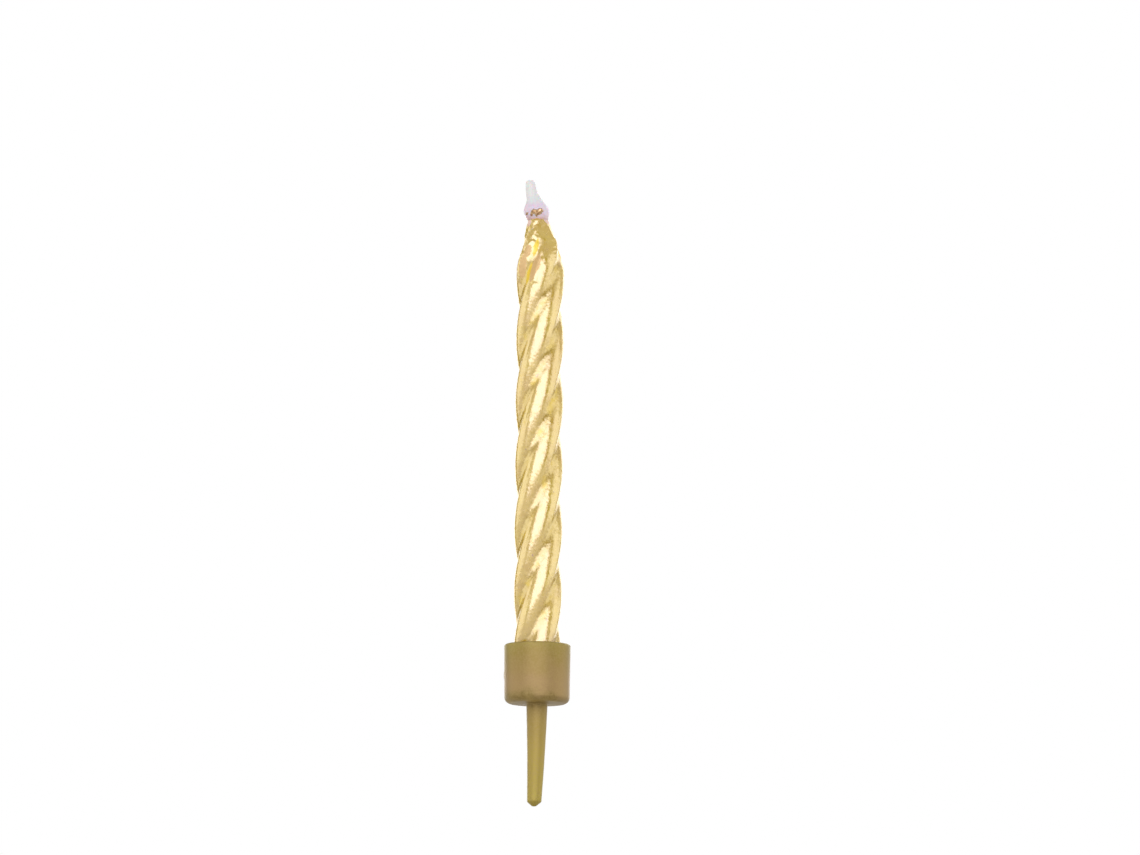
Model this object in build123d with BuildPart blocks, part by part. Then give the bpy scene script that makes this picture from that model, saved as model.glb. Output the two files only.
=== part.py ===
"""Spiral birthday candle standing in its push-in cake holder.

A four-lobed stick of wax, twisted while warm, carries a skin of gold foil and a cotton wick down its middle.
A bead of priming wax covers the end of the wick. The stick stands in the cup of a moulded plastic holder,
and the holder's spike goes into the cake as far as the underside of the cup.

The origin is on the axis at the underside of the cup, level with the top of the cake, and +Z is up.
Lengths are in millimetres and angles in degrees.
"""

import math
import os

from build123d import *

# Holder: a cup with a spike under it, in one moulding
CUP_FLOOR = 1.2
SOCKET_DEPTH = 6.2
CUP_WALL = 1.15
CUP_DRAFT = 0.5
CUP_FOOT_ROUNDING = 0.8
RIM_ROUNDING = 0.25
SOCKET_CLEARANCE = 0.05
SOCKET_LEAD_IN = 0.2
SPIKE_LENGTH = 12.8
SPIKE_ROOT_DIAMETER = 2.65
SPIKE_END_DIAMETER = 1.75
SPIKE_POINT_LENGTH = 0.8
SPIKE_POINT_DIAMETER = 0.55
SPIKE_POINT_ROUNDING = 0.2

# Stick: the twisted candle over its foil, from its cut base up to its neck
STICK_LENGTH = 60.2
CREST_DIAMETER = 6.0
LOBE_COUNT = 4
LOBE_DEPTH = 0.61
LOBE_FADE = 0.9
GROOVE_ROUNDING = 1.8
TWIST_LEAD = 32.15
TWIST_AT_BASE = 38.5
SHOULDER_LENGTH = 6.3
SHOULDER_FULLNESS = 1.45
NECK_DIAMETER = 2.6
NECK_LEAN = 0.35

# Foil skin around the stick
FOIL_THICKNESS = 0.08

# Wick: runs from the base of the stick to just under the tip of the bead
WICK_DIAMETER = 1.0
WICK_BEND_SHARE = 0.45

# Nose: the bare wax that stands above the neck, inside the bead
NOSE_LENGTH = 1.2
NOSE_STEP = 0.25
NOSE_WALL = 0.35

# Bead of priming wax: it swells out over the neck, then thins to a stem around the leaning wick
BEAD_HEIGHT = 5.15
BEAD_LEAN = 0.85
BEAD_BELLY_RISE = 0.9
BEAD_OVERHANG = 0.33
BEAD_WAIST_RISE = 2.3
BEAD_WAIST_DIAMETER = 2.2
BEAD_STEM_RISE = 3.6
BEAD_STEM_COVER = 0.2
BEAD_TIP_COVER = 0.13
BEAD_TIP_ROUNDING = 0.45
BEAD_OVER_WICK = 0.4

# Room left between pieces that are stuck together
BOND_GAP = 0.02

# Slices that the lofts pass through
SLICES_PER_TURN = 16
SHOULDER_SLICES = 8

crest_radius = CREST_DIAMETER / 2
neck_radius = NECK_DIAMETER / 2
wick_radius = WICK_DIAMETER / 2
socket_radius = crest_radius + SOCKET_CLEARANCE
rim_radius = socket_radius + CUP_WALL
cup_height = CUP_FLOOR + SOCKET_DEPTH
foot_radius = rim_radius - cup_height * math.tan(math.radians(CUP_DRAFT))
base_height = CUP_FLOOR
neck_height = base_height + STICK_LENGTH
straight_length = STICK_LENGTH - SHOULDER_LENGTH
neck_centre = Vector(-NECK_LEAN, 0, neck_height)


def slice_heights():
    """Heights above the base of the slices: even steps of twist, then closer ones up the shoulder."""
    steps = math.ceil(straight_length / TWIST_LEAD * SLICES_PER_TURN)
    straight = [straight_length * step / steps for step in range(steps)]
    shoulder = [straight_length + SHOULDER_LENGTH * step / SHOULDER_SLICES for step in range(SHOULDER_SLICES)]
    return straight + shoulder + [STICK_LENGTH]


def shoulder_share(height):
    """How far up the shoulder a height is: 0 on the straight stick and 1 at the neck."""
    return max(0.0, (height - straight_length) / SHOULDER_LENGTH)


def slice_plane(height):
    """Plane of a slice: turned with the twist, and moved over where the shoulder leans."""
    turn = TWIST_AT_BASE + 360 * height / TWIST_LEAD
    lean = NECK_LEAN * shoulder_share(height) ** 2
    return Plane((-lean, 0, base_height + height)).rotated((0, 0, turn))


def lobed_outline(height, skin):
    """Outline of the stick at a height, taken in by a skin: an arc over each lobe, and a hollow one in each groove."""
    share = shoulder_share(height)
    crest = neck_radius + (crest_radius - neck_radius) * (1 - share**SHOULDER_FULLNESS) - skin
    groove = crest - LOBE_DEPTH * (1 - LOBE_FADE * share)
    half_lobe = 180 / LOBE_COUNT
    rounding = GROOVE_ROUNDING + skin
    hollow_centre = Vector(groove + rounding, 0).rotate(Axis.Z, half_lobe)
    reach = crest + rounding
    lobe_centre = Vector((reach**2 - hollow_centre.length**2) / (2 * (reach - hollow_centre.X)), 0)
    joint = lobe_centre + (hollow_centre - lobe_centre).normalized() * (crest - lobe_centre.X)
    with BuildLine() as outline:
        for lobe in range(LOBE_COUNT):
            middle = 2 * half_lobe * lobe
            last = Vector(joint.X, -joint.Y).rotate(Axis.Z, middle + 2 * half_lobe)
            first = joint.rotate(Axis.Z, middle)
            ThreePointArc(
                Vector(joint.X, -joint.Y).rotate(Axis.Z, middle),
                Vector(crest, 0).rotate(Axis.Z, middle),
                first,
            )
            ThreePointArc(first, Vector(groove, 0).rotate(Axis.Z, middle + half_lobe), last)
    return outline.edges()


def wax_slice(height):
    """Slice of the wax inside its foil."""
    with BuildSketch(slice_plane(height)) as lobes:
        make_face(lobed_outline(height, FOIL_THICKNESS + BOND_GAP))
    return lobes.sketch


def foil_slice(height):
    """Slice of the foil: a ring of even thickness that follows the lobes."""
    with BuildSketch(slice_plane(height)) as ring:
        make_face(lobed_outline(height, 0))
        make_face(lobed_outline(height, FOIL_THICKNESS), mode=Mode.SUBTRACT)
    return ring.sketch


def wick_rod(gap):
    """Round rod along the wick's route, with room around it: up the axis, then over with the neck and bead."""
    bend = Vector(0, 0, neck_height - SHOULDER_LENGTH)
    tip = neck_centre + Vector(-BEAD_LEAN, 0, BEAD_HEIGHT - BEAD_OVER_WICK + gap)
    points = [Vector(0, 0, base_height), bend, neck_centre, tip]
    radii = []
    for before, corner, after in zip(points, points[1:], points[2:]):
        half_turn = (corner - before).get_angle(after - corner) / 2
        shorter = min((corner - before).length, (after - corner).length)
        radii.append(WICK_BEND_SHARE * shorter / math.tan(math.radians(half_turn)))
    with BuildPart() as rod:
        with BuildLine() as route:
            FilletPolyline(*points, radius=radii)
        with BuildSketch(Plane((0, 0, base_height))):
            Circle(wick_radius + gap)
        sweep(path=route.line)
    return rod.part


def nose_cone(gap):
    """The nose of bare wax on the neck, with room around it."""
    with BuildPart(Plane(neck_centre)) as cone:
        Cone(
            neck_radius - NOSE_STEP + gap,
            wick_radius + NOSE_WALL + gap,
            NOSE_LENGTH + gap,
            align=(Align.CENTER, Align.CENTER, Align.MIN),
        )
    return cone.part


# Holder
with BuildPart() as holder:
    with BuildSketch(Plane.XZ):
        with BuildLine():
            Polyline((0, 0), (foot_radius, 0), (rim_radius, cup_height), (0, cup_height), close=True)
        make_face()
    revolve(axis=Axis.Z)
    fillet(holder.edges().filter_by(GeomType.CIRCLE).group_by(Axis.Z)[0], CUP_FOOT_ROUNDING)
    with BuildSketch(Plane.XY.offset(cup_height)):
        Circle(socket_radius)
    extrude(amount=-SOCKET_DEPTH, mode=Mode.SUBTRACT)
    mouth, rim = holder.edges().filter_by(GeomType.CIRCLE).group_by(Axis.Z)[-1].sort_by(SortBy.RADIUS)
    chamfer(mouth, SOCKET_LEAD_IN)
    fillet(rim, RIM_ROUNDING)
    with BuildSketch(Plane.XZ):
        with BuildLine():
            Polyline(
                (0, 0),
                (SPIKE_ROOT_DIAMETER / 2, 0),
                (SPIKE_END_DIAMETER / 2, SPIKE_POINT_LENGTH - SPIKE_LENGTH),
                (SPIKE_POINT_DIAMETER / 2, -SPIKE_LENGTH),
                (0, -SPIKE_LENGTH),
                close=True,
            )
        make_face()
    revolve(axis=Axis.Z)
    point_edges = holder.edges().filter_by(GeomType.CIRCLE).sort_by(Axis.Z)[:2]
    fillet(point_edges, SPIKE_POINT_ROUNDING)
holder.part.label = "holder"

# Wax stick, with its nose and the bore that the wick fills
with BuildPart() as wax_stick:
    loft(sections=[wax_slice(height) for height in slice_heights()])
    add(nose_cone(0))
    add(wick_rod(BOND_GAP), mode=Mode.SUBTRACT)
wax_stick.part.label = "wax_stick"

# Gold foil
with BuildPart() as gold_foil:
    loft(sections=[foil_slice(height) for height in slice_heights()])
gold_foil.part.label = "gold_foil"

# Wick
with BuildPart() as wick:
    add(wick_rod(0))
wick.part.label = "wick"

# Bead of priming wax, set around the nose and the wick
bead_rings = [
    (0, neck_radius),
    (BEAD_BELLY_RISE, neck_radius + BEAD_OVERHANG),
    (BEAD_WAIST_RISE, BEAD_WAIST_DIAMETER / 2),
    (BEAD_STEM_RISE, wick_radius + BEAD_STEM_COVER),
    (BEAD_HEIGHT, wick_radius + BEAD_TIP_COVER),
]
with BuildPart() as wick_bead:
    for rise, radius in bead_rings:
        lean = BEAD_LEAN * rise / BEAD_HEIGHT
        with BuildSketch(Plane(neck_centre + Vector(-lean, 0, rise))):
            Circle(radius)
    loft()
    fillet(wick_bead.edges().group_by(Axis.Z)[-1], BEAD_TIP_ROUNDING)
    add(nose_cone(BOND_GAP), mode=Mode.SUBTRACT)
    add(wick_rod(BOND_GAP), mode=Mode.SUBTRACT)
wick_bead.part.label = "wick_bead"

os.makedirs("parts", exist_ok=True)
for piece in (holder, wax_stick, gold_foil, wick, wick_bead):
    export_step(piece.part, f"parts/{piece.part.label}.step")
    print(piece.part.label, f"{piece.part.volume:.2f} mm3", "valid" if piece.part.is_valid else "NOT VALID")
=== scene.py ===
# %% [markdown]
# # A spiral birthday candle in its cake holder
#
# This lesson dresses a small model that was made in CAD. The dressed pieces stand where the CAD pieces are, and
# have their sizes. The candle gets its crumpled gold foil, its bead of wax over the wick, and the satin
# plastic of its holder. Everything is in metres, with +Z up and the front of the candle facing -Y.

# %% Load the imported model
import math

import bmesh
import bpy
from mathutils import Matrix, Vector


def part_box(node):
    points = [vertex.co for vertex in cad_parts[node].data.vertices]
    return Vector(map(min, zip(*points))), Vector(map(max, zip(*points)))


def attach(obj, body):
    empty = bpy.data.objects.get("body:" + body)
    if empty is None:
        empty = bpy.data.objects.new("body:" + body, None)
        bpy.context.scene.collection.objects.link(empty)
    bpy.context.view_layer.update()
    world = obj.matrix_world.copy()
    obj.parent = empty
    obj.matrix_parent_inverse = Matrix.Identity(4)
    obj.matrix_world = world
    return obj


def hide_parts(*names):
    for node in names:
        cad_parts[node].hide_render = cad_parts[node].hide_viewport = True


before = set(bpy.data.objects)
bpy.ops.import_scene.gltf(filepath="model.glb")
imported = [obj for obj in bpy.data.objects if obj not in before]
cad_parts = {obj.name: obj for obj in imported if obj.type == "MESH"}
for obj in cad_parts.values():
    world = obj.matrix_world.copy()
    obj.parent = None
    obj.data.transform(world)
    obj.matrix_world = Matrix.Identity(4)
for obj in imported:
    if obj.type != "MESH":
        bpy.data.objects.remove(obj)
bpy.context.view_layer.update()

MM = 0.001

# %% [markdown]
# ## Sizes
#
# A piece that stands for a CAD node has to fit where that node is, so its heights are read from the node's
# box. The box can't tell how the stick is twisted, so the lobes and the lead are written here, as the solid
# has them.

# %% Read the heights, and name the sizes that a box can't give
foil_low, foil_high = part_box("gold_foil")
_, bead_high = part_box("wick_bead")
holder_low, holder_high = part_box("holder")
base_z, neck_z = foil_low.z, foil_high.z
bead_top_z = bead_high.z
spike_tip_z, rim_z = holder_low.z, holder_high.z

CREST_RADIUS = 3.0 * MM
GROOVE_RADIUS = 2.39 * MM
GROOVE_ROUNDING = 1.8 * MM
NECK_RADIUS = 1.3 * MM
NECK_LEAN = 0.35 * MM
TWIST_LEAD = 32.15 * MM
TWIST_AT_ORIGIN = math.radians(25.06)
SHOULDER_LENGTH = 6.3 * MM
SHOULDER_FULLNESS = 1.45
TOLERANCE = 0.01 * MM
shoulder_z = neck_z - SHOULDER_LENGTH


def shoulder_share(height):
    """How far up the shoulder a height is: 0 on the straight stick, and 1 at the neck."""
    return max(0.0, (height - shoulder_z) / SHOULDER_LENGTH)


def ridge_radius(share):
    """Distance from the stick's middle to its ridges, some way up the shoulder."""
    return NECK_RADIUS + (CREST_RADIUS - NECK_RADIUS) * (1 - share**SHOULDER_FULLNESS)


def lean_at(share):
    """How far the stick's middle is to the left of the axis, some way up the shoulder."""
    return NECK_LEAN * share**2


def clamp(value):
    """Keeps a value between 0 and 1."""
    return max(0.0, min(1.0, value))


print(f"stick from {base_z / MM:.2f} to {neck_z / MM:.2f} mm, bead to {bead_top_z / MM:.2f} mm")

# %% [markdown]
# ## Camera
#
# The photograph is taken with a long lens from slightly below the cup, so the rim arches up a little. A long
# lens keeps upright lines parallel. The camera looks at the point of the candle's plane that is in the middle
# of the picture, and a small roll gives the candle the same lean as in the photograph.

# %% Place the camera
PHOTO_WIDTH, PHOTO_HEIGHT = 1140, 855
PIXEL = 0.1256 * MM
AXIS_COLUMN_AT_MIDDLE = 539.2
CUP_FOOT_ROW = 701.9
CAMERA_DISTANCE = 700 * MM
CAMERA_ELEVATION = math.radians(-9)
CAMERA_ROLL = math.radians(0.42)
SENSOR_WIDTH = 36
NEAR_CLIP, FAR_CLIP = 10 * MM, 10

target = Vector((
    (PHOTO_WIDTH / 2 - AXIS_COLUMN_AT_MIDDLE) * PIXEL,
    0,
    (CUP_FOOT_ROW - PHOTO_HEIGHT / 2) * PIXEL / math.cos(CAMERA_ELEVATION),
))
backwards = Vector((0, -math.cos(CAMERA_ELEVATION), math.sin(CAMERA_ELEVATION)))
bpy.ops.object.camera_add(location=target + backwards * CAMERA_DISTANCE)
camera = bpy.context.object
camera.rotation_euler = (-backwards).to_track_quat("-Z", "Y").to_euler()
camera.rotation_euler.rotate_axis("Z", CAMERA_ROLL)
camera.data.sensor_width = SENSOR_WIDTH
camera.data.lens = SENSOR_WIDTH * CAMERA_DISTANCE / (PHOTO_WIDTH * PIXEL)
camera.data.clip_start, camera.data.clip_end = NEAR_CLIP, FAR_CLIP
bpy.context.scene.camera = camera
print(f"lens {camera.data.lens:.0f} mm")

# %% [markdown]
# ## Floor, background and light
#
# Gold shows what stands around it, so the light is planned as reflections. Two soft lamps, in front and
# behind, light the candle evenly, and reflections don't see them. Lamps alone would draw one hard patch on
# each lobe. So the gold mirrors a set of cards that only reflections see: a grey surround, a bright card for
# the cream bands, a dark one for the line beside them, and a yellowish one on each side for the gold candles
# that stand there in the photograph. The world is white to the camera. The floor is pale. The camera is below
# it, so it is clear from below, and it fades out away from the candle, so that a view from above ends in
# white too.

# %% Make a helper for shader nodes
def add_node(tree, kind, links=None, **values):
    """Adds a node, sets its properties and sockets, and joins sockets to the outputs in links."""
    node = tree.nodes.new(kind)
    for name, value in values.items():
        if hasattr(node, name):
            setattr(node, name, value)
        else:
            node.inputs[name.replace("_", " ")].default_value = value
    for socket, output in (links or {}).items():
        tree.links.new(output, node.inputs[socket])
    return node


# %% Make the world
WHITE = (1, 1, 1, 1)
WORLD_SHOWN, WORLD_FILL = 1.0, 0.75

bpy.context.scene.view_settings.view_transform = "Standard"
world = bpy.data.worlds.new("white_studio")
bpy.context.scene.world = world
world.use_nodes = True
tree = world.node_tree
tree.nodes.clear()
rays = add_node(tree, "ShaderNodeLightPath")
seen = add_node(tree, "ShaderNodeMath", {0: rays.outputs["Is Camera Ray"], 1: rays.outputs["Is Glossy Ray"]},
                operation="MAXIMUM")
shown = add_node(tree, "ShaderNodeMath", {0: seen.outputs[0], 1: rays.outputs["Is Transmission Ray"]},
                 operation="MAXIMUM")
white = add_node(tree, "ShaderNodeBackground", Color=WHITE, Strength=WORLD_SHOWN)
fill = add_node(tree, "ShaderNodeBackground", Color=WHITE, Strength=WORLD_FILL)
either = add_node(tree, "ShaderNodeMixShader",
                  {0: shown.outputs[0], 1: fill.outputs[0], 2: white.outputs[0]})
add_node(tree, "ShaderNodeOutputWorld", {"Surface": either.outputs[0]})
print("world", world.name)

# %% Make the floor
FLOOR_SIZE = 3.0
FLOOR_GAP = 0.3 * MM
FLOOR_COLOUR = (0.8, 0.8, 0.8, 1)
FADE_START, FADE_END = 60 * MM, 420 * MM

bpy.ops.object.select_all(action="DESELECT")
bpy.ops.mesh.primitive_plane_add(size=FLOOR_SIZE, location=(0, 0, spike_tip_z - FLOOR_GAP))
floor = bpy.context.object
floor.name = "floor"
floor_finish = bpy.data.materials.new("pale_floor")
floor_finish.use_nodes = True
tree = floor_finish.node_tree
tree.nodes.clear()
side = add_node(tree, "ShaderNodeNewGeometry")
paint = add_node(tree, "ShaderNodeBsdfDiffuse", Color=FLOOR_COLOUR)
clear = add_node(tree, "ShaderNodeBsdfTransparent")
away = add_node(tree, "ShaderNodeVectorMath", {0: add_node(tree, "ShaderNodeTexCoord").outputs["Object"]},
                operation="LENGTH")
faded = add_node(tree, "ShaderNodeMapRange", {"Value": away.outputs["Value"]}, From_Min=FADE_START,
                 From_Max=FADE_END)
rays = add_node(tree, "ShaderNodeLightPath")
unseen = add_node(tree, "ShaderNodeMath", {0: faded.outputs[0], 1: rays.outputs["Is Camera Ray"]},
                  operation="MULTIPLY")
gone = add_node(tree, "ShaderNodeMath", {0: unseen.outputs[0], 1: side.outputs["Backfacing"]},
                operation="MAXIMUM")
one_sided = add_node(tree, "ShaderNodeMixShader",
                     {0: gone.outputs[0], 1: paint.outputs[0], 2: clear.outputs[0]})
add_node(tree, "ShaderNodeOutputMaterial", {"Surface": one_sided.outputs[0]})
floor.data.materials.append(floor_finish)
print(f"floor at {floor.location.z / MM:.2f} mm")

# %% Hang the lamps and the cards that the gold reflects
RIG_DISTANCE = 450 * MM
RIG_HEIGHT = 30 * MM
CARD_DISTANCE, DARK_CARD_DISTANCE, SURROUND_DISTANCE = 380 * MM, 370 * MM, 420 * MM
CARD_COLUMNS, CARD_ROWS = 48, 12
NEIGHBOUR_GOLD = (1.0, 0.99, 0.82, 1)


def around(azimuth, distance, height):
    """A place on a circle round the candle. Azimuth 0 is in front, and 90 to the right."""
    angle = math.radians(azimuth)
    return Vector((math.sin(angle) * distance, -math.cos(angle) * distance, height))


def soft_lamp(name, azimuth, height, spread, tall, brightness):
    """A rectangular lamp that faces the candle, and covers a spread of degrees as the candle sees it."""
    bpy.ops.object.light_add(type="AREA", location=around(azimuth, RIG_DISTANCE, height))
    lamp = bpy.context.object
    lamp.name = name
    towards = Vector((0, 0, RIG_HEIGHT)) - lamp.location
    lamp.rotation_euler = towards.to_track_quat("-Z", "Y").to_euler()
    lamp.data.shape = "RECTANGLE"
    lamp.data.size = 2 * RIG_DISTANCE * math.tan(math.radians(spread / 2))
    lamp.data.size_y = tall
    lamp.data.energy = brightness * math.pi * lamp.data.size * lamp.data.size_y
    lamp.visible_camera = lamp.visible_glossy = False


def reflected_card(name, azimuth, spread, low, high, lean, level, distance=CARD_DISTANCE, colour=WHITE):
    """A card that only reflections see. Its level is the brightness that a mirror would show.

    It stands between two elevations, its top is turned against its foot by its lean, and all are in degrees.
    """
    bpy.ops.object.select_all(action="DESELECT")
    bpy.ops.mesh.primitive_grid_add(x_subdivisions=CARD_COLUMNS, y_subdivisions=CARD_ROWS, size=1)
    card = bpy.context.object
    card.name = name
    for point in card.data.vertices:
        elevation = math.radians((low + high) / 2 + (high - low) * point.co.y)
        turn = azimuth + spread * point.co.x + lean * point.co.y
        point.co = around(turn, distance * math.cos(elevation), distance * math.sin(elevation) + RIG_HEIGHT)
    for rays_of in ("camera", "diffuse", "transmission", "volume_scatter", "shadow"):
        setattr(card, f"visible_{rays_of}", False)
    finish = bpy.data.materials.new(name)
    finish.use_nodes = True
    finish.node_tree.nodes.clear()
    glow = add_node(finish.node_tree, "ShaderNodeEmission", Color=colour, Strength=level)
    add_node(finish.node_tree, "ShaderNodeOutputMaterial", {"Surface": glow.outputs[0]})
    card.data.materials.append(finish)
    print(name)


soft_lamp("front_lamp", azimuth=0, height=60 * MM, spread=50, tall=700 * MM, brightness=0.6)
soft_lamp("back_lamp", azimuth=180, height=120 * MM, spread=50, tall=600 * MM, brightness=0.6)
reflected_card("grey_surround", azimuth=0, spread=360, low=-40, high=84, lean=0, level=0.4,
               distance=SURROUND_DISTANCE)
for side_name, turn in (("front", 0), ("back", 180)):
    reflected_card(f"{side_name}_bright_card", azimuth=turn - 8, spread=72, low=-11, high=38, lean=-45,
                   level=2.55)
    reflected_card(f"{side_name}_dark_card", azimuth=turn + 39, spread=16, low=-28, high=60, lean=-78,
                   level=0.04, distance=DARK_CARD_DISTANCE)
    reflected_card(f"{side_name}_right_card", azimuth=turn + 82, spread=46, low=-24, high=34, lean=-48,
                   level=1.55, colour=NEIGHBOUR_GOLD)
    reflected_card(f"{side_name}_left_card", azimuth=turn - 66, spread=28, low=-14, high=16, lean=-16,
                   level=1.55, colour=NEIGHBOUR_GOLD)

# %% [markdown]
# ## Ways of working
#
# The new pieces are modelled as by hand: a ring of points is added, pulled up into a wall, scaled ring by
# ring, and finished with modifiers. Each mesh could also be written point by point, but these are the steps
# that a modeller takes in Edit Mode. Operators act on all that is selected, so each piece starts from nothing
# selected.

# %% Make helpers for modelling
def new_ring(name, points, radius, height):
    """A flat ring of points with its place in its mesh, left in edit mode with every point selected."""
    bpy.ops.object.select_all(action="DESELECT")
    bpy.ops.mesh.primitive_circle_add(vertices=points, radius=radius, location=(0, 0, height))
    piece = bpy.context.object
    piece.name = piece.data.name = name
    bpy.ops.object.transform_apply(location=True, rotation=True, scale=True)
    bpy.ops.object.mode_set(mode="EDIT")
    bpy.ops.mesh.select_all(action="SELECT")
    return piece


def pick_points(piece, test):
    """Selects the points whose place passes a test, and returns how many there are."""
    bpy.ops.mesh.select_mode(type="VERT")
    shape = bmesh.from_edit_mesh(piece.data)
    for point in shape.verts:
        point.select_set(test(point.co))
    shape.select_flush_mode()
    bmesh.update_edit_mesh(piece.data)
    return sum(point.select for point in shape.verts)


def pick_edges(piece, test):
    """Selects the edges whose two ends pass a test."""
    bpy.ops.mesh.select_mode(type="EDGE")
    shape = bmesh.from_edit_mesh(piece.data)
    for edge in shape.edges:
        edge.select_set(test(edge.verts[0].co, edge.verts[1].co))
    bmesh.update_edit_mesh(piece.data)


def pull_up(rise):
    """Extrudes what is selected straight up, and leaves the new points selected."""
    bpy.ops.mesh.extrude_region_move(TRANSFORM_OT_translate={"value": (0, 0, rise)})


def scale_ring(factor, centre):
    """Scales the selected ring about a centre, and keeps its height."""
    bpy.ops.transform.resize(value=(factor, factor, 1), center_override=centre)


def apply_modifier(piece, kind, **settings):
    """Adds a modifier, sets it and applies it, in object mode."""
    modifier = piece.modifiers.new(kind.title(), kind)
    for name, value in settings.items():
        setattr(modifier, name, value)
    bpy.ops.object.modifier_apply(modifier=modifier.name)


def face_outwards():
    """Makes the faces of the piece in edit mode point outwards."""
    bpy.ops.mesh.select_all(action="SELECT")
    bpy.ops.mesh.normals_make_consistent(inside=False)


def lean_left(shift, reach, falloff="SHARP"):
    """Moves the selected points to the left, and lets the points within a reach follow."""
    bpy.ops.transform.translate(value=(-shift, 0, 0), use_proportional_edit=True,
                                proportional_edit_falloff=falloff, proportional_size=reach)


def push_out(push, reach, falloff="SHARP"):
    """Moves the selected points out of the surface, or in if negative, and lets those within a reach follow."""
    bpy.ops.transform.shrink_fatten(value=push, use_proportional_edit=True, proportional_edit_falloff=falloff,
                                    proportional_size=reach)


def roughen(piece, name, grain, strength, **settings):
    """Displaces a piece in object mode with a soft cloud texture, which has its grain in metres."""
    texture = bpy.data.textures.new(name, "CLOUDS")
    texture.noise_scale = grain
    texture.noise_depth = 1
    apply_modifier(piece, "DISPLACE", texture=texture, strength=strength, texture_coords="LOCAL", **settings)


# %% [markdown]
# ## Gold foil
#
# The stick is wax, wrapped in a very thin gold skin that follows its four lobes. A Screw modifier could sweep
# such an outline up and round, but it couldn't draw it in to a neck. So a ring of points is scaled to the
# lobed outline and pulled up into a straight wall. The shoulder is pulled up in short steps, each a little
# smaller and rounder, so that the lobes fade into the neck. A Simple Deform modifier then twists the whole
# wall at once, which keeps the rings level, as twisting warm wax does.

# %% Shape the lobed ring and pull up the straight wall
LOBES = 4
POINTS_PER_LOBE = 24
STRAIGHT_SPANS = 4
RINGS_PER_SPAN = 84
SHOULDER_RINGS = 44
NECK_ROUNDNESS = 0.9

lobe_angle = 2 * math.pi / LOBES
hollow_centre = GROOVE_RADIUS + GROOVE_ROUNDING
reach = CREST_RADIUS + GROOVE_ROUNDING
lobe_centre = (reach**2 - hollow_centre**2) / (2 * (reach - hollow_centre * math.cos(lobe_angle / 2)))
lobe_radius = CREST_RADIUS - lobe_centre
hollow_x = hollow_centre * math.cos(lobe_angle / 2) - lobe_centre
hollow_y = hollow_centre * math.sin(lobe_angle / 2)
turn_at_joint = math.atan2(hollow_y, hollow_x)
joint_angle = math.atan2(lobe_radius * math.sin(turn_at_joint),
                         lobe_centre + lobe_radius * math.cos(turn_at_joint))


def lobed_radius(angle):
    """Distance from the axis to the lobed outline, at an angle from the middle of a lobe."""
    if angle < joint_angle:
        across = lobe_centre * math.sin(angle)
        return lobe_centre * math.cos(angle) + math.sqrt(lobe_radius**2 - across**2)
    across = hollow_centre * math.sin(lobe_angle / 2 - angle)
    return hollow_centre * math.cos(lobe_angle / 2 - angle) - math.sqrt(GROOVE_ROUNDING**2 - across**2)


def from_lobe_middle(place):
    """Angle of a place from the middle of the nearest lobe, before the twist."""
    turn = (math.atan2(place.y, place.x) + lobe_angle / 2) % lobe_angle
    return abs(turn - lobe_angle / 2)


foil = new_ring("crumpled_gold_foil", LOBES * POINTS_PER_LOBE, CREST_RADIUS, base_z)
step = lobe_angle / POINTS_PER_LOBE
for offset in range(1, POINTS_PER_LOBE // 2 + 1):
    pick_points(foil, lambda place: abs(from_lobe_middle(place) - offset * step) < step / 4)
    scale_ring(lobed_radius(offset * step) / CREST_RADIUS, (0, 0, base_z))
bpy.ops.mesh.select_all(action="SELECT")
bpy.ops.transform.rotate(value=-TWIST_AT_ORIGIN, orient_axis="Z", center_override=(0, 0, base_z))
span = (shoulder_z - base_z) / STRAIGHT_SPANS
for _ in range(STRAIGHT_SPANS):
    pull_up(span)
print("lobe radius", round(lobe_radius / MM, 3), "mm")

# %% Pull up the shoulder, then twist the whole wall and lean its neck
radius_now, roundness_now = CREST_RADIUS, 0.0
for ring in range(1, SHOULDER_RINGS + 1):
    share = ring / SHOULDER_RINGS
    radius = ridge_radius(share)
    roundness = NECK_ROUNDNESS * share
    pull_up(SHOULDER_LENGTH / SHOULDER_RINGS)
    bpy.ops.transform.tosphere(value=(roundness - roundness_now) / (1 - roundness_now))
    scale_ring(radius / radius_now, (0, 0, shoulder_z))
    radius_now, roundness_now = radius, roundness

pick_edges(foil, lambda one, other: abs(one.z - other.z) > span / 2)
bpy.ops.mesh.subdivide(number_cuts=RINGS_PER_SPAN - 1)
face_outwards()
bpy.ops.object.mode_set(mode="OBJECT")
apply_modifier(foil, "SIMPLE_DEFORM", deform_method="TWIST", deform_axis="Z",
               angle=2 * math.pi * (neck_z - base_z) / TWIST_LEAD)
bpy.ops.object.mode_set(mode="EDIT")
pick_points(foil, lambda place: place.z > neck_z - TOLERANCE)
lean_left(NECK_LEAN, SHOULDER_LENGTH)
bpy.ops.object.mode_set(mode="OBJECT")
print("foil points", len(foil.data.vertices))

# %% [markdown]
# ## Folds in the foil
#
# The skin is pressed on by hand, so the shoulder has small folds, and the lobes aren't quite even. Each fold
# is a short line of points pushed out of the surface or into it, with proportional editing so that its
# neighbours follow. Noise alone would look the same everywhere, so the folds are placed one by one, and noise
# adds the rest. The right of the shoulder is smoother in the photograph, so less noise goes there.

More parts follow.
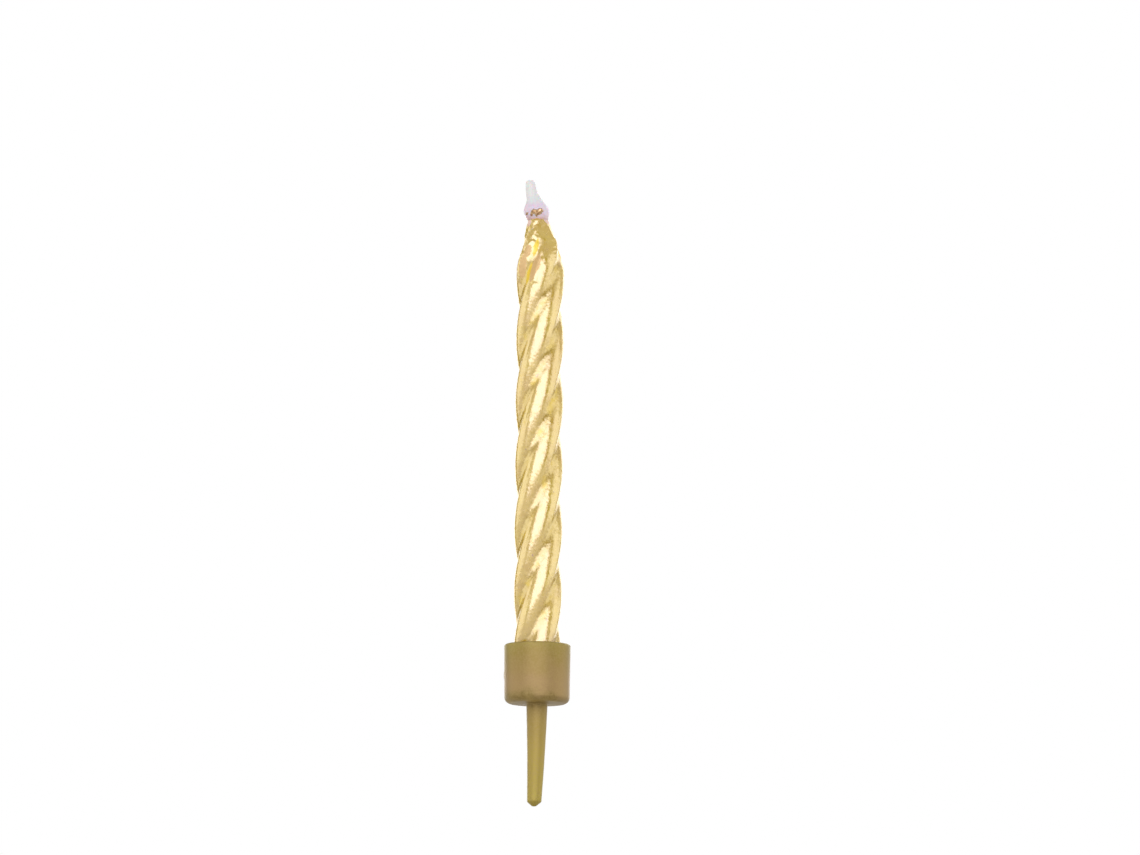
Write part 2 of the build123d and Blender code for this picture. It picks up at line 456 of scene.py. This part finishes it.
# %% Press the folds, and add a fine unevenness
# Each fold: azimuth in degrees and height of its start and of its end, its push and its reach, in millimetres
FOLDS = [
    (12, 57.9, -15, 53.1, 0.15, 0.40),
    (-19, 56.6, -37, 53.4, 0.16, 0.32),
    (-11, 59.8, -26, 58.9, 0.13, 0.28),
    (-39, 57.8, -23, 58.4, 0.15, 0.30),
    (-22, 60.8, -4, 61.2, 0.10, 0.25),
    (-8, 58.9, -16, 57.4, 0.11, 0.28),
    (-15, 58.3, -24, 56.6, -0.05, 0.50),
    (-33, 56.2, -44, 54.2, -0.05, 0.45),
    (34, 61.0, 62, 57.0, 0.08, 0.60),
    (60, 58.6, 44, 55.8, 0.13, 0.38),
    (104, 59.6, 84, 57.4, 0.14, 0.60),
    (138, 58.4, 118, 54.2, 0.07, 0.38),
    (166, 59.6, 150, 57.4, -0.06, 0.40),
    (196, 57.2, 176, 53.6, 0.14, 0.38),
    (224, 60.0, 206, 58.6, 0.13, 0.30),
    (248, 57.8, 226, 54.0, 0.15, 0.38),
    (280, 59.4, 262, 56.2, 0.13, 0.34),
    (304, 56.8, 286, 53.2, 0.14, 0.38),
]
FOLD_HALF_WIDTH = 0.22 * MM
WOBBLE_GRAIN, WOBBLE = 3 * MM, 0.035 * MM
CRUMPLE_GRAIN, CRUMPLE, CRUMPLE_LEVEL = 0.7 * MM, 0.16 * MM, 0.25
CRUMPLE_BELOW, CRUMPLE_RISE = 2.5 * MM, 5 * MM
SMOOTH_SIDE, SMOOTH_SHARE = math.radians(50), 0.85
FOIL_THICKNESS = 0.08 * MM


def place_at(azimuth, height):
    """A place on the foil's outside, from its azimuth in degrees and its height in millimetres."""
    share = shoulder_share(height * MM)
    return around(azimuth, ridge_radius(share), height * MM) - Vector((lean_at(share), 0, 0))


def off_line(place, start, end):
    """How far a place is from a straight line between two places."""
    along = clamp((place - start).dot(end - start) / (end - start).length_squared)
    return (place - start.lerp(end, along)).length


bpy.ops.object.mode_set(mode="EDIT")
pressed = 0
for azimuth_1, height_1, azimuth_2, height_2, push, reach in FOLDS:
    start, end = place_at(azimuth_1, height_1), place_at(azimuth_2, height_2)
    pressed += pick_points(foil, lambda place: off_line(place, start, end) < FOLD_HALF_WIDTH)
    push_out(push * MM, reach * MM)
bpy.ops.object.mode_set(mode="OBJECT")
shoulder = foil.vertex_groups.new(name="shoulder")
for point in foil.data.vertices:
    rise = (point.co.z - shoulder_z + CRUMPLE_BELOW) / CRUMPLE_RISE
    off_smooth_side = math.atan2(point.co.x, -point.co.y) - SMOOTH_SIDE
    calm = SMOOTH_SHARE * max(0.0, math.cos(off_smooth_side)) ** 2
    shoulder.add([point.index], clamp(rise) * (1 - calm), "REPLACE")
roughen(foil, "slow_wobble", WOBBLE_GRAIN, WOBBLE)
roughen(foil, "shoulder_crumple", CRUMPLE_GRAIN, CRUMPLE, vertex_group="shoulder", mid_level=CRUMPLE_LEVEL)
apply_modifier(foil, "SOLIDIFY", thickness=FOIL_THICKNESS, offset=-1)
bpy.ops.object.shade_smooth()
print("points pressed", pressed, "foil faces", len(foil.data.polygons))

# %% [markdown]
# ## Bead of wax over the wick
#
# The end of the wick is dipped in soft wax. It swells over the neck as a small lilac belly, and thins to a
# frosted stem that leans to one side. A turned profile would come out straight, so it is pulled up ring by
# ring, and each ring is moved over and scaled to follow the leaning stem. A Subdivision Surface modifier then
# rounds it, as melted wax is.

# %% Pull up the bead
# Each ring, in millimetres: its height above the neck, how far it is to the left of the axis, and its radius
BEAD_RINGS = [
    (-0.12, 0.36, 1.10),
    (-0.14, 0.40, 1.32),
    (0.22, 0.46, 1.36),
    (0.80, 0.55, 1.63),
    (1.32, 0.57, 1.63),
    (1.82, 0.60, 1.38),
    (2.32, 0.71, 1.09),
    (2.80, 0.93, 0.90),
    (3.40, 1.16, 0.75),
    (4.20, 1.31, 0.67),
    (4.75, 1.36, 0.63),
    (5.04, 1.37, 0.46),
    (5.12, 1.37, 0.20),
]
BEAD_POINTS = 32
BEAD_SMOOTHING = 2
BEAD_GRAIN, BEAD_UNEVENNESS = 1.1 * MM, 0.06 * MM

rise, left, radius = BEAD_RINGS[0]
bead = new_ring("dipped_wick_bead", BEAD_POINTS, radius * MM, neck_z + rise * MM)
bpy.ops.transform.translate(value=(-left * MM, 0, 0))
bpy.ops.mesh.edge_face_add()
for next_rise, next_left, next_radius in BEAD_RINGS[1:]:
    bpy.ops.mesh.extrude_region_move(TRANSFORM_OT_translate={
        "value": ((left - next_left) * MM, 0, (next_rise - rise) * MM)})
    scale_ring(next_radius / radius, (-next_left * MM, 0, neck_z + next_rise * MM))
    rise, left, radius = next_rise, next_left, next_radius
face_outwards()
bpy.ops.object.mode_set(mode="OBJECT")
apply_modifier(bead, "SUBSURF", levels=BEAD_SMOOTHING, render_levels=BEAD_SMOOTHING)
roughen(bead, "soft_wax", BEAD_GRAIN, BEAD_UNEVENNESS)
bpy.ops.object.shade_smooth()
print("bead faces", len(bead.data.polygons))

# %% [markdown]
# ## Gold flakes in the bead
#
# Scraps of the foil stick to the soft wax. They could be painted on it, but they have torn edges that catch
# the light. They lie on the wax, so they are copied from the bead's own faces, crumpled with noise so that
# they stand off it a little, and given a thickness.

# %% Lift the flakes off the bead
# Each flake, in millimetres: how far it is to the right of the belly's middle, its height above the neck, its
# half width and its half height, then its tilt in degrees
FLAKES = [
    (-0.48, 0.72, 0.28, 0.52, 20),
    (-0.04, 0.64, 0.28, 0.52, -12),
    (0.36, 0.80, 0.42, 0.54, 35),
    (0.72, 1.00, 0.14, 0.30, -30),
    (-1.18, 0.66, 0.19, 0.22, 0),
]
BELLY_LEFT = 0.56 * MM
FLAKE_SMOOTHING = 1
FLAKE_GRAIN, FLAKE_CRUMPLE, FLAKE_LEVEL = 0.22 * MM, 0.10 * MM, 0.3
FLAKE_THICKNESS = 0.03 * MM


def in_flake(place):
    """Whether a place on the front of the bead is inside one of the flakes."""
    if place.y > 0:
        return False
    for right, rise, half_width, half_height, tilt in FLAKES:
        across = place.x + BELLY_LEFT - right * MM
        up = place.z - neck_z - rise * MM
        turn = math.radians(tilt)
        along_width = (across * math.cos(turn) - up * math.sin(turn)) / (half_width * MM)
        along_height = (across * math.sin(turn) + up * math.cos(turn)) / (half_height * MM)
        if along_width**2 + along_height**2 < 1:
            return True
    return False


bpy.ops.object.mode_set(mode="EDIT")
pick_points(bead, in_flake)
bpy.ops.mesh.duplicate()
bpy.ops.mesh.separate(type="SELECTED")
bpy.ops.object.mode_set(mode="OBJECT")
flakes = next(thing for thing in bpy.context.selected_objects if thing is not bead)
bpy.ops.object.select_all(action="DESELECT")
flakes.select_set(True)
bpy.context.view_layer.objects.active = flakes
flakes.name = flakes.data.name = "gold_flakes"
apply_modifier(flakes, "SUBSURF", levels=FLAKE_SMOOTHING, render_levels=FLAKE_SMOOTHING)
roughen(flakes, "flake_crumple", FLAKE_GRAIN, FLAKE_CRUMPLE, mid_level=FLAKE_LEVEL)
apply_modifier(flakes, "SOLIDIFY", thickness=FLAKE_THICKNESS, offset=1)
bpy.ops.object.shade_smooth()
print("flake faces", len(flakes.data.polygons))

# %% [markdown]
# ## Wick
#
# The wick is cotton, laid from three strands. Only its cut end shows, in the base of the stick when it is
# lifted out of its cup. Three tubes wound round each other would be the full way. For so little to see, one
# ring with three lobes is pulled up, cut into short rings, twisted, and leant over with the neck and the
# bead.

# %% Pull up and twist the wick
WICK_RADIUS = 0.5 * MM
STRANDS = 3
POINTS_PER_STRAND = 8
STRAND_DEPTH = 0.12
GROOVE_WAVE, FLANK_WAVE = -0.9, -0.5
WICK_RINGS = 96
WICK_LEAD = 5.0 * MM
WICK_TOP = 4.6 * MM
WICK_TIP = 0.1 * MM
WICK_LEAN = 1.0 * MM
WICK_SMOOTH_ANGLE = math.radians(50)


def strand_wave(place):
    """1 along the middle of a strand, and -1 in the groove between two strands, before the twist."""
    return math.cos(STRANDS * math.atan2(place.y, place.x))


wick = new_ring("twisted_cotton_wick", STRANDS * POINTS_PER_STRAND, WICK_RADIUS, base_z)
pick_points(wick, lambda place: strand_wave(place) < GROOVE_WAVE)
scale_ring(1 - 2 * STRAND_DEPTH, (0, 0, base_z))
pick_points(wick, lambda place: GROOVE_WAVE < strand_wave(place) < FLANK_WAVE)
scale_ring(1 - STRAND_DEPTH, (0, 0, base_z))
bpy.ops.mesh.select_all(action="SELECT")
bpy.ops.mesh.edge_face_add()
wick_length = neck_z + WICK_TOP - base_z
pull_up(wick_length)
pick_edges(wick, lambda one, other: abs(one.z - other.z) > wick_length / 2)
bpy.ops.mesh.subdivide(number_cuts=WICK_RINGS)
face_outwards()
bpy.ops.object.mode_set(mode="OBJECT")
apply_modifier(wick, "SIMPLE_DEFORM", deform_method="TWIST", deform_axis="Z",
               angle=2 * math.pi * wick_length / WICK_LEAD)
bpy.ops.object.mode_set(mode="EDIT")
pick_points(wick, lambda place: place.z > neck_z)
lean_left(NECK_LEAN, SHOULDER_LENGTH)
pick_points(wick, lambda place: place.z > neck_z + WICK_TOP - WICK_TIP)
lean_left(WICK_LEAN, WICK_TOP, falloff="LINEAR")
bpy.ops.object.mode_set(mode="OBJECT")
bpy.ops.object.shade_smooth_by_angle(angle=WICK_SMOOTH_ANGLE)
print("wick faces", len(wick.data.polygons))

# %% [markdown]
# ## Holder
#
# The holder is one moulding: a cup with a socket for the stick, and a tapered spike that goes into the cake.
# It is round, so it could be spun from a profile. Pulling one ring through the same outline leaves even rows
# of faces, which are easy to pick for the gate mark and for the slight bend that the spike took while it
# cooled.

# %% Pull the holder through its outline
# Radii, roundings and rises of the outline are in millimetres, and slopes in degrees
HOLDER_POINTS = 96
POINT_ROUNDING, POINT_SLOPE, SPIKE_SLOPE = 0.3, -50, -2
POINT_TIP_RADIUS, POINT_TOP_RADIUS, POINT_TOP_RISE = 0.12, 0.6, 0.7
SPIKE_ROOT_RADIUS, ROOT_FILLET = 1.325, 0.15
FOOT_RADIUS, FOOT_ROUNDING = 4.07, 0.8
RIM_RADIUS, RIM_ROUNDING = 4.15, 0.25
SOCKET_RADIUS, LEAD_IN = 3.05, 0.2
WALL_ROWS = 48
LONG_EDGE = 5 * MM


def round_corner(radius, height, rounding, start, end, steps=8):
    """Radii and heights along a rounded corner about a centre, between two angles in degrees."""
    corner = []
    for step in range(steps + 1):
        angle = math.radians(start + (end - start) * step / steps)
        corner.append((radius + rounding * math.cos(angle), height + rounding * math.sin(angle)))
    return corner


tip_mm, rim_mm, floor_mm = spike_tip_z / MM, rim_z / MM, base_z / MM
outline = [
    *round_corner(POINT_TIP_RADIUS, tip_mm + POINT_ROUNDING, POINT_ROUNDING, -90, POINT_SLOPE, steps=4),
    *round_corner(POINT_TOP_RADIUS, tip_mm + POINT_TOP_RISE, POINT_ROUNDING, POINT_SLOPE, SPIKE_SLOPE,
                  steps=4),
    *round_corner(SPIKE_ROOT_RADIUS + ROOT_FILLET, -ROOT_FILLET, ROOT_FILLET, 180, 90, steps=4),
    *round_corner(FOOT_RADIUS - FOOT_ROUNDING, FOOT_ROUNDING, FOOT_ROUNDING, -90, 0),
    *round_corner(RIM_RADIUS - RIM_ROUNDING, rim_mm - RIM_ROUNDING, RIM_ROUNDING, 0, 90, steps=6),
    (SOCKET_RADIUS + LEAD_IN, rim_mm),
    (SOCKET_RADIUS, rim_mm - LEAD_IN),
    (SOCKET_RADIUS, floor_mm),
    (POINT_TIP_RADIUS, floor_mm),
]
radius, height = outline[0]
holder = new_ring("moulded_cake_holder", HOLDER_POINTS, radius * MM, height * MM)
bpy.ops.mesh.edge_face_add()
for next_radius, next_height in outline[1:]:
    pull_up((next_height - height) * MM)
    scale_ring(next_radius / radius, (0, 0, next_height * MM))
    radius, height = next_radius, next_height
pick_edges(holder, lambda one, other: abs(one.z - other.z) > LONG_EDGE)
bpy.ops.mesh.subdivide(number_cuts=WALL_ROWS)
face_outwards()
print("outline points", len(outline))

# %% Raise the gate mark, bend the spike, and let the wall be a little uneven
GATE_MARK = Vector((-4.11, 0, 3.6)) * MM
GATE_RADIUS, GATE_PUSH, GATE_REACH = 0.25 * MM, 0.06 * MM, 0.5 * MM
SPIKE_BEND = 0.27 * MM
WALL_GRAIN, WALL_UNEVENNESS = 2.2 * MM, 0.03 * MM
HOLDER_SMOOTH_ANGLE = math.radians(40)

pick_points(holder, lambda place: (place - GATE_MARK).length < GATE_RADIUS)
push_out(GATE_PUSH, GATE_REACH, falloff="SMOOTH")
pick_points(holder, lambda place: place.z < spike_tip_z + TOLERANCE)
lean_left(SPIKE_BEND, -spike_tip_z)
bpy.ops.object.mode_set(mode="OBJECT")
roughen(holder, "moulded_wall", WALL_GRAIN, WALL_UNEVENNESS)
bpy.ops.object.shade_smooth_by_angle(angle=HOLDER_SMOOTH_ANGLE)
print("holder faces", len(holder.data.polygons))

# %% [markdown]
# ## Finishes
#
# Image textures would need unwrapped meshes. Here every finish is made of nodes that read Object coordinates,
# so nothing has to be unwrapped, and the grain has its real size. A few helpers keep the cells short: one
# starts a finish, one makes noise of a given grain, one makes a colour ramp, and one turns grain into bump.

# %% Make helpers for finishes
# Noise rarely leaves this span
NOISE_SPAN = (0.3, 0.7)
# A Mix node has sockets for each kind of value, and these are the ones for colours
MIX_FIRST, MIX_SECOND, MIX_RESULT = 6, 7, 2


def new_finish(name, **settings):
    """Starts a finish, and gives its node tree, its shader and the place on the surface."""
    finish = bpy.data.materials.new(name)
    finish.use_nodes = True
    tree = finish.node_tree
    tree.nodes.clear()
    shader = add_node(tree, "ShaderNodeBsdfPrincipled", **settings)
    add_node(tree, "ShaderNodeOutputMaterial", {"Surface": shader.outputs[0]})
    place = add_node(tree, "ShaderNodeTexCoord").outputs["Object"]
    return finish, tree, shader, place


def noise(tree, place, grain, detail=2.0):
    """Noise with a grain in metres, from 0 to 1."""
    node = add_node(tree, "ShaderNodeTexNoise", {"Vector": place}, Scale=1 / grain, Detail=detail)
    return node.outputs["Fac"]


def painted(tree, name):
    """A value that is painted on the mesh."""
    return add_node(tree, "ShaderNodeAttribute", attribute_name=name).outputs["Fac"]


def spread(tree, value, span, to=(0.0, 1.0)):
    """Stretches a span of values to another, and stops at its ends."""
    node = add_node(tree, "ShaderNodeMapRange", {"Value": value}, From_Min=span[0], From_Max=span[1],
                    To_Min=to[0], To_Max=to[1])
    return node.outputs["Result"]


def ramp(tree, value, stops):
    """Colours along a value: each stop is a position and a linear colour."""
    node = add_node(tree, "ShaderNodeValToRGB", {"Fac": value})
    elements = node.color_ramp.elements
    for position, _ in stops[1:-1]:
        elements.new(position)
    for element, (position, colour) in zip(elements, stops):
        element.position, element.color = position, (*colour, 1)
    return node.outputs["Color"]


def blend(tree, share, first, second):
    """Mixes two colours, each an output or a linear colour."""
    node = add_node(tree, "ShaderNodeMix", {"Factor": share}, data_type="RGBA")
    for socket, colour in ((MIX_FIRST, first), (MIX_SECOND, second)):
        if isinstance(colour, tuple):
            node.inputs[socket].default_value = (*colour, 1)
        else:
            tree.links.new(colour, node.inputs[socket])
    return node.outputs[MIX_RESULT]


def combine(tree, one, other, operation="ADD"):
    """Adds two values, or joins them in another way. The second one can be a plain number."""
    node = add_node(tree, "ShaderNodeMath", {0: one}, operation=operation)
    if isinstance(other, float):
        node.inputs[1].default_value = other
    else:
        tree.links.new(other, node.inputs[1])
    return node.outputs[0]


def bumps(tree, shader, height, strength, distance):
    """Turns a height into bump on a shader."""
    node = add_node(tree, "ShaderNodeBump", {"Height": height}, Strength=strength, Distance=distance)
    tree.links.new(node.outputs[0], shader.inputs["Normal"])


def height_of(tree, place):
    """Height of a place above the origin, in metres."""
    return add_node(tree, "ShaderNodeSeparateXYZ", {0: place}).outputs["Z"]


def dress(piece, finish, body, node=None):
    """Gives a piece its finish and the body that it rides on, and hides the CAD node that it stands for."""
    piece.data.materials.clear()
    piece.data.materials.append(finish)
    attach(piece, body)
    if node:
        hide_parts(node)
    print("dressed", piece.name, "in", finish.name)


# %% [markdown]
# ## Gold finish
#
# The skin is a metallised film, much thinner than paper. A Metallic shader would tint all its reflections
# alike, but in the photograph the highlights are cream over a saturated gold. So the finish is a strong clear
# shine with a high IOR, tinted cream, over a saturated colour. Three values are painted on the mesh for it.
# One says how deep a place lies in a groove, where soil turns the gold olive. One says where the film is
# rubbed off the shoulder, so that the peach-coloured wax shows, and one where it has stayed a deep yellow.
# Noise makes their edges ragged, and a fine grain breaks up the highlights.

# %% Paint the grooves and the patches on the shoulder
# Each patch: azimuth of its middle in degrees, its height, half width and half height in millimetres, and how
# many degrees it turns in a millimetre of height
BARE_PATCHES = [
    (-14, 54.8, 0.58, 1.8, 5.7),
    (-40, 57.0, 0.50, 0.8, 6.0),
    (-54, 55.2, 0.45, 1.5, 5.0),
    (-62, 60.9, 0.60, 0.55, 0.0),
    (58, 61.1, 0.50, 0.40, 0.0),
    (108, 55.4, 0.45, 1.5, 6.0),
    (150, 56.4, 0.50, 1.0, 5.0),
    (170, 61.0, 0.60, 0.45, 0.0),
    (204, 55.0, 0.50, 1.6, 6.0),
    (240, 57.2, 0.50, 0.8, 6.0),
    (276, 54.9, 0.45, 1.4, 5.5),
]
RICH_PATCHES = [
    (-34, 54.1, 0.46, 1.4, 5.7),
    (-14, 57.5, 0.30, 1.1, 5.7),
    (96, 57.4, 0.40, 1.0, 5.0),
    (182, 56.0, 0.35, 1.2, 5.5),
    (262, 57.0, 0.40, 1.0, 5.0),
]
PATCH_LEVEL, PATCH_SLOPE = 1.25, 2


def in_patches(place, patches):
    """How far a place is inside some patches: 1 in the middle of one, and 0 outside all of them."""
    most = 0.0
    lean = lean_at(shoulder_share(place.z))
    azimuth_here = math.degrees(math.atan2(place.x + lean, -place.y))
    for azimuth, height, half_width, half_height, turn in patches:
        up = place.z / MM - height
        off = (azimuth_here - azimuth - turn * up + 180) % 360 - 180
        across = math.radians(off) * math.hypot(place.x, place.y) / MM
        most = max(most, PATCH_LEVEL - (across / half_width) ** 2 - (up / half_height) ** 2)
    return clamp(PATCH_SLOPE * most)


def depth_in_groove(place):
    """How deep a place lies under the ridges: 0 on a ridge, and 1 on the floor of a groove."""
    share = shoulder_share(place.z)
    depth = ridge_radius(share) - math.hypot(place.x + lean_at(share), place.y)
    return clamp(depth / (CREST_RADIUS - GROOVE_RADIUS))


for name, value_at in (
    ("groove", depth_in_groove),
    ("bare", lambda place: in_patches(place, BARE_PATCHES)),
    ("rich", lambda place: in_patches(place, RICH_PATCHES)),
):
    layer = foil.data.attributes.new(name, "FLOAT", "POINT")
    for point, value in zip(foil.data.vertices, layer.data):
        value.value = value_at(point.co)
    print("painted", layer.name)

# %% Colour the gold
GOLD = (0.82, 0.56, 0.02)
DEEP_GOLD = (0.76, 0.47, 0.01)
# A darker olive, painted into the grooves as shade, and the shine tint that goes with it
GROOVE_SHADE_OLIVE = (0.52, 0.31, 0.0)
RICH_GOLD = (0.88, 0.58, 0.0)
WORN_BROWN = (0.42, 0.20, 0.03)
CREAM = (1.0, 0.90, 0.83)
GROOVE_SHADE_SHINE = (1.0, 0.88, 0.62)
YELLOW_SHINE = (1.0, 0.80, 0.22)

gold, tree, shader, place = new_finish("pale_gold_foil", IOR=3.7)
tone = spread(tree, noise(tree, place, grain=2.5 * MM), span=(0.4, 0.65))
mask_edge_noise = spread(tree, noise(tree, place, grain=0.5 * MM, detail=3.0), span=NOISE_SPAN, to=(-0.3, 0.3))
# Painted shade: the deeper a place lies in a groove, the darker and more olive its gold and its shine; noise
# only makes the edge ragged
deep = spread(tree, combine(tree, painted(tree, "groove"), mask_edge_noise), span=(0.5, 1.1))
rich = spread(tree, combine(tree, painted(tree, "rich"), mask_edge_noise), span=(0.1, 1.0), to=(0.0, 0.9))
glow = spread(tree, noise(tree, place, grain=2.2 * MM), span=(0.52, 0.66), to=(0.0, 0.45))
# In places the painted shade of the grooves turns a deeper yellow instead
rich = combine(tree, rich, combine(tree, glow, deep, "MULTIPLY"), "MAXIMUM")
worn = spread(tree, noise(tree, place, grain=0.9 * MM, detail=1.0), span=(0.74, 0.78))
tint = blend(tree, tone, GOLD, DEEP_GOLD)
for share, colour in ((deep, GROOVE_SHADE_OLIVE), (rich, RICH_GOLD), (worn, WORN_BROWN)):
    tint = blend(tree, share, tint, colour)
shine = blend(tree, rich, blend(tree, deep, CREAM, GROOVE_SHADE_SHINE), YELLOW_SHINE)
print("colours of", gold.name)

# %% Let the wax show where the film is rubbed off, and give the gold its sheen and grain
BARE_WAX = (0.61, 0.37, 0.115)
ROSY_WAX = (0.80, 0.58, 0.62)
PEACH_SHINE = (1.0, 0.76, 0.50)
ROSY_FROM, ROSY_TO = neck_z - 1.2 * MM, neck_z - 0.6 * MM
DENT_SHARE, GRAIN_SHARE = 0.35, 0.18

ragged = spread(tree, noise(tree, place, grain=0.25 * MM), span=NOISE_SPAN, to=(-0.3, 0.3))
patch = spread(tree, combine(tree, painted(tree, "bare"), ragged), span=(0.4, 0.6))
near_bead = spread(tree, height_of(tree, place), span=(ROSY_FROM, ROSY_TO))
colour = blend(tree, patch, tint, blend(tree, near_bead, BARE_WAX, ROSY_WAX))
tree.links.new(colour, shader.inputs["Base Color"])
tree.links.new(blend(tree, patch, shine, PEACH_SHINE), shader.inputs["Specular Tint"])
sheen = spread(tree, noise(tree, place, grain=0.6 * MM), span=NOISE_SPAN, to=(0.16, 0.28))
dull = spread(tree, combine(tree, patch, rich, "MAXIMUM"), span=(0.0, 1.0), to=(0.0, 0.35))
tree.links.new(combine(tree, sheen, dull), shader.inputs["Roughness"])
dents = combine(tree, noise(tree, place, grain=0.8 * MM, detail=1.0), DENT_SHARE, "MULTIPLY")
grains = combine(tree, noise(tree, place, grain=0.3 * MM, detail=0.0), GRAIN_SHARE, "MULTIPLY")
bumps(tree, shader, combine(tree, dents, grains), strength=1.0, distance=0.08 * MM)
dress(foil, gold, "candle", "gold_foil")

# %% [markdown]
# ## Flake finish
#
# The flakes are the same film, but torn and half sunk in wax, so they are darker, with brown edges. The
# foil's own finish would be too bright here, so a short ramp along noise mixes brown and gold in each scrap.

# %% Make the flake finish
flake_gold, tree, shader, place = new_finish("torn_gold_flake", Metallic=0.5)
scraps = noise(tree, place, grain=0.3 * MM, detail=3.0)
colour = ramp(tree, scraps, [
    (0.38, (0.36, 0.19, 0.09)),
    (0.50, (0.53, 0.33, 0.16)),
    (0.62, (0.70, 0.50, 0.31)),
])
tree.links.new(colour, shader.inputs["Base Color"])
tree.links.new(spread(tree, scraps, span=NOISE_SPAN, to=(0.4, 0.2)), shader.inputs["Roughness"])
bumps(tree, shader, scraps, strength=0.4, distance=0.03 * MM)
dress(flakes, flake_gold, "candle")

# %% [markdown]
# ## Wax of the bead
#
# The belly is translucent lilac wax, rosy where it meets the gold, and the stem is frosted white. They could
# be separate finishes, but the wax runs from one colour into the other. So a ramp along the height gives all
# of them, and noise moves the border up and down, as where a dip ended.

# %% Make the bead's finish
BORDER = 0.35 * MM

bead_wax, tree, shader, place = new_finish("lilac_bead_wax", Subsurface_Weight=0.35,
                                           Subsurface_Scale=0.4 * MM)
edge = spread(tree, noise(tree, place, grain=0.8 * MM), span=NOISE_SPAN, to=(-BORDER, BORDER))
level = spread(tree, combine(tree, height_of(tree, place), edge), span=(neck_z, bead_top_z))
colour = ramp(tree, level, [
    (0.00, (0.76, 0.50, 0.48)),
    (0.06, (0.84, 0.62, 0.66)),
    (0.14, (0.89, 0.74, 0.88)),
    (0.33, (0.90, 0.77, 0.89)),
    (0.42, (0.89, 0.87, 0.89)),
    (1.00, (0.88, 0.88, 0.88)),
])
tree.links.new(colour, shader.inputs["Base Color"])
frost = noise(tree, place, grain=0.2 * MM, detail=3.0)
tree.links.new(spread(tree, frost, span=NOISE_SPAN, to=(0.35, 0.55)), shader.inputs["Roughness"])
bumps(tree, shader, frost, strength=0.25, distance=0.02 * MM)
dress(bead, bead_wax, "candle", "wick_bead")

# %% [markdown]
# ## Wax of the stick
#
# The stick's wax shows only at its cut base. It could be modelled again under the foil, but the CAD node has
# the right shape, so it stays and gets a finish: a warm peach wax, a little cloudy, with the fine marks of
# the cut.

# %% Make the stick's finish
stick_wax, tree, shader, place = new_finish("peach_stick_wax", Subsurface_Weight=0.3,
                                            Subsurface_Scale=0.6 * MM)
cloud = noise(tree, place, grain=1.6 * MM, detail=3.0)
colour = ramp(tree, cloud, [
    (0.3, (0.66, 0.47, 0.26)),
    (0.5, (0.72, 0.53, 0.31)),
    (0.7, (0.76, 0.59, 0.38)),
])
tree.links.new(colour, shader.inputs["Base Color"])
tree.links.new(spread(tree, cloud, span=NOISE_SPAN, to=(0.42, 0.58)), shader.inputs["Roughness"])
cut_marks = noise(tree, place, grain=0.25 * MM, detail=3.0)
bumps(tree, shader, cut_marks, strength=0.3, distance=0.03 * MM)
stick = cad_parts["wax_stick"]
stick.data.materials.clear()
stick.data.materials.append(stick_wax)
print("dressed", stick.name, "in", stick_wax.name)

# %% [markdown]
# ## Cotton of the wick
#
# Cotton is off-white and matt, with fibres that follow the strands. Modelled fibres would be finer than
# anything else here, and hidden, so noise that is stretched along the wick gives them.

# %% Make the wick's finish
FIBRE_STRETCH = (1, 1, 0.15)

cotton, tree, shader, place = new_finish("waxed_cotton", Roughness=0.9, Sheen_Weight=0.2)
stretched = add_node(tree, "ShaderNodeMapping", {"Vector": place}, Scale=FIBRE_STRETCH).outputs[0]
fibres = noise(tree, stretched, grain=0.08 * MM, detail=3.0)
colour = ramp(tree, fibres, [
    (0.3, (0.55, 0.51, 0.45)),
    (0.5, (0.72, 0.70, 0.66)),
    (0.7, (0.80, 0.79, 0.76)),
])
tree.links.new(colour, shader.inputs["Base Color"])
bumps(tree, shader, fibres, strength=0.6, distance=0.04 * MM)
dress(wick, cotton, "candle", "wick")

# %% [markdown]
# ## Plastic of the holder
#
# The holder is moulded in olive-gold plastic with a pearl pigment, so it has a soft metallic shine. One
# colour would look flat. In the photograph it drifts from olive at the rim through brown to yellow-green at the
# spike's tip. A ramp along the height gives that, and it also paints shade: a dark band round the cup's foot
# and the spike's root, under the cup. A fine grain keeps it satin.

# %% Make the holder's finish
PEARL_SPECKLE = (0.42, 0.29, 0.10)
DRIFT = 0.8 * MM

plastic, tree, shader, place = new_finish("pearl_olive_plastic", Metallic=0.25)
drift = spread(tree, noise(tree, place, grain=2.4 * MM), span=NOISE_SPAN, to=(-DRIFT, DRIFT))
level = spread(tree, combine(tree, height_of(tree, place), drift), span=(spike_tip_z, rim_z))
# The stops from 0.60 to 0.71 are painted shade, darkening the cup's foot and the spike's root under the cup
colour = ramp(tree, level, [
    (0.00, (0.45, 0.35, 0.05)),
    (0.35, (0.42, 0.30, 0.05)),
    (0.60, (0.33, 0.22, 0.05)),
    (0.65, (0.23, 0.15, 0.03)),
    (0.71, (0.35, 0.22, 0.08)),
    (0.76, (0.37, 0.23, 0.09)),
    (0.84, (0.34, 0.22, 0.06)),
    (0.93, (0.32, 0.22, 0.04)),
    (1.00, (0.34, 0.26, 0.04)),
])
pearl = noise(tree, place, grain=0.22 * MM, detail=3.0)
speckle = spread(tree, pearl, span=(0.35, 0.65), to=(0.0, 0.5))
tree.links.new(blend(tree, speckle, colour, PEARL_SPECKLE), shader.inputs["Base Color"])
tree.links.new(spread(tree, pearl, span=NOISE_SPAN, to=(0.38, 0.5)), shader.inputs["Roughness"])
bumps(tree, shader, pearl, strength=0.3, distance=0.02 * MM)
dress(holder, plastic, "holder", "holder")
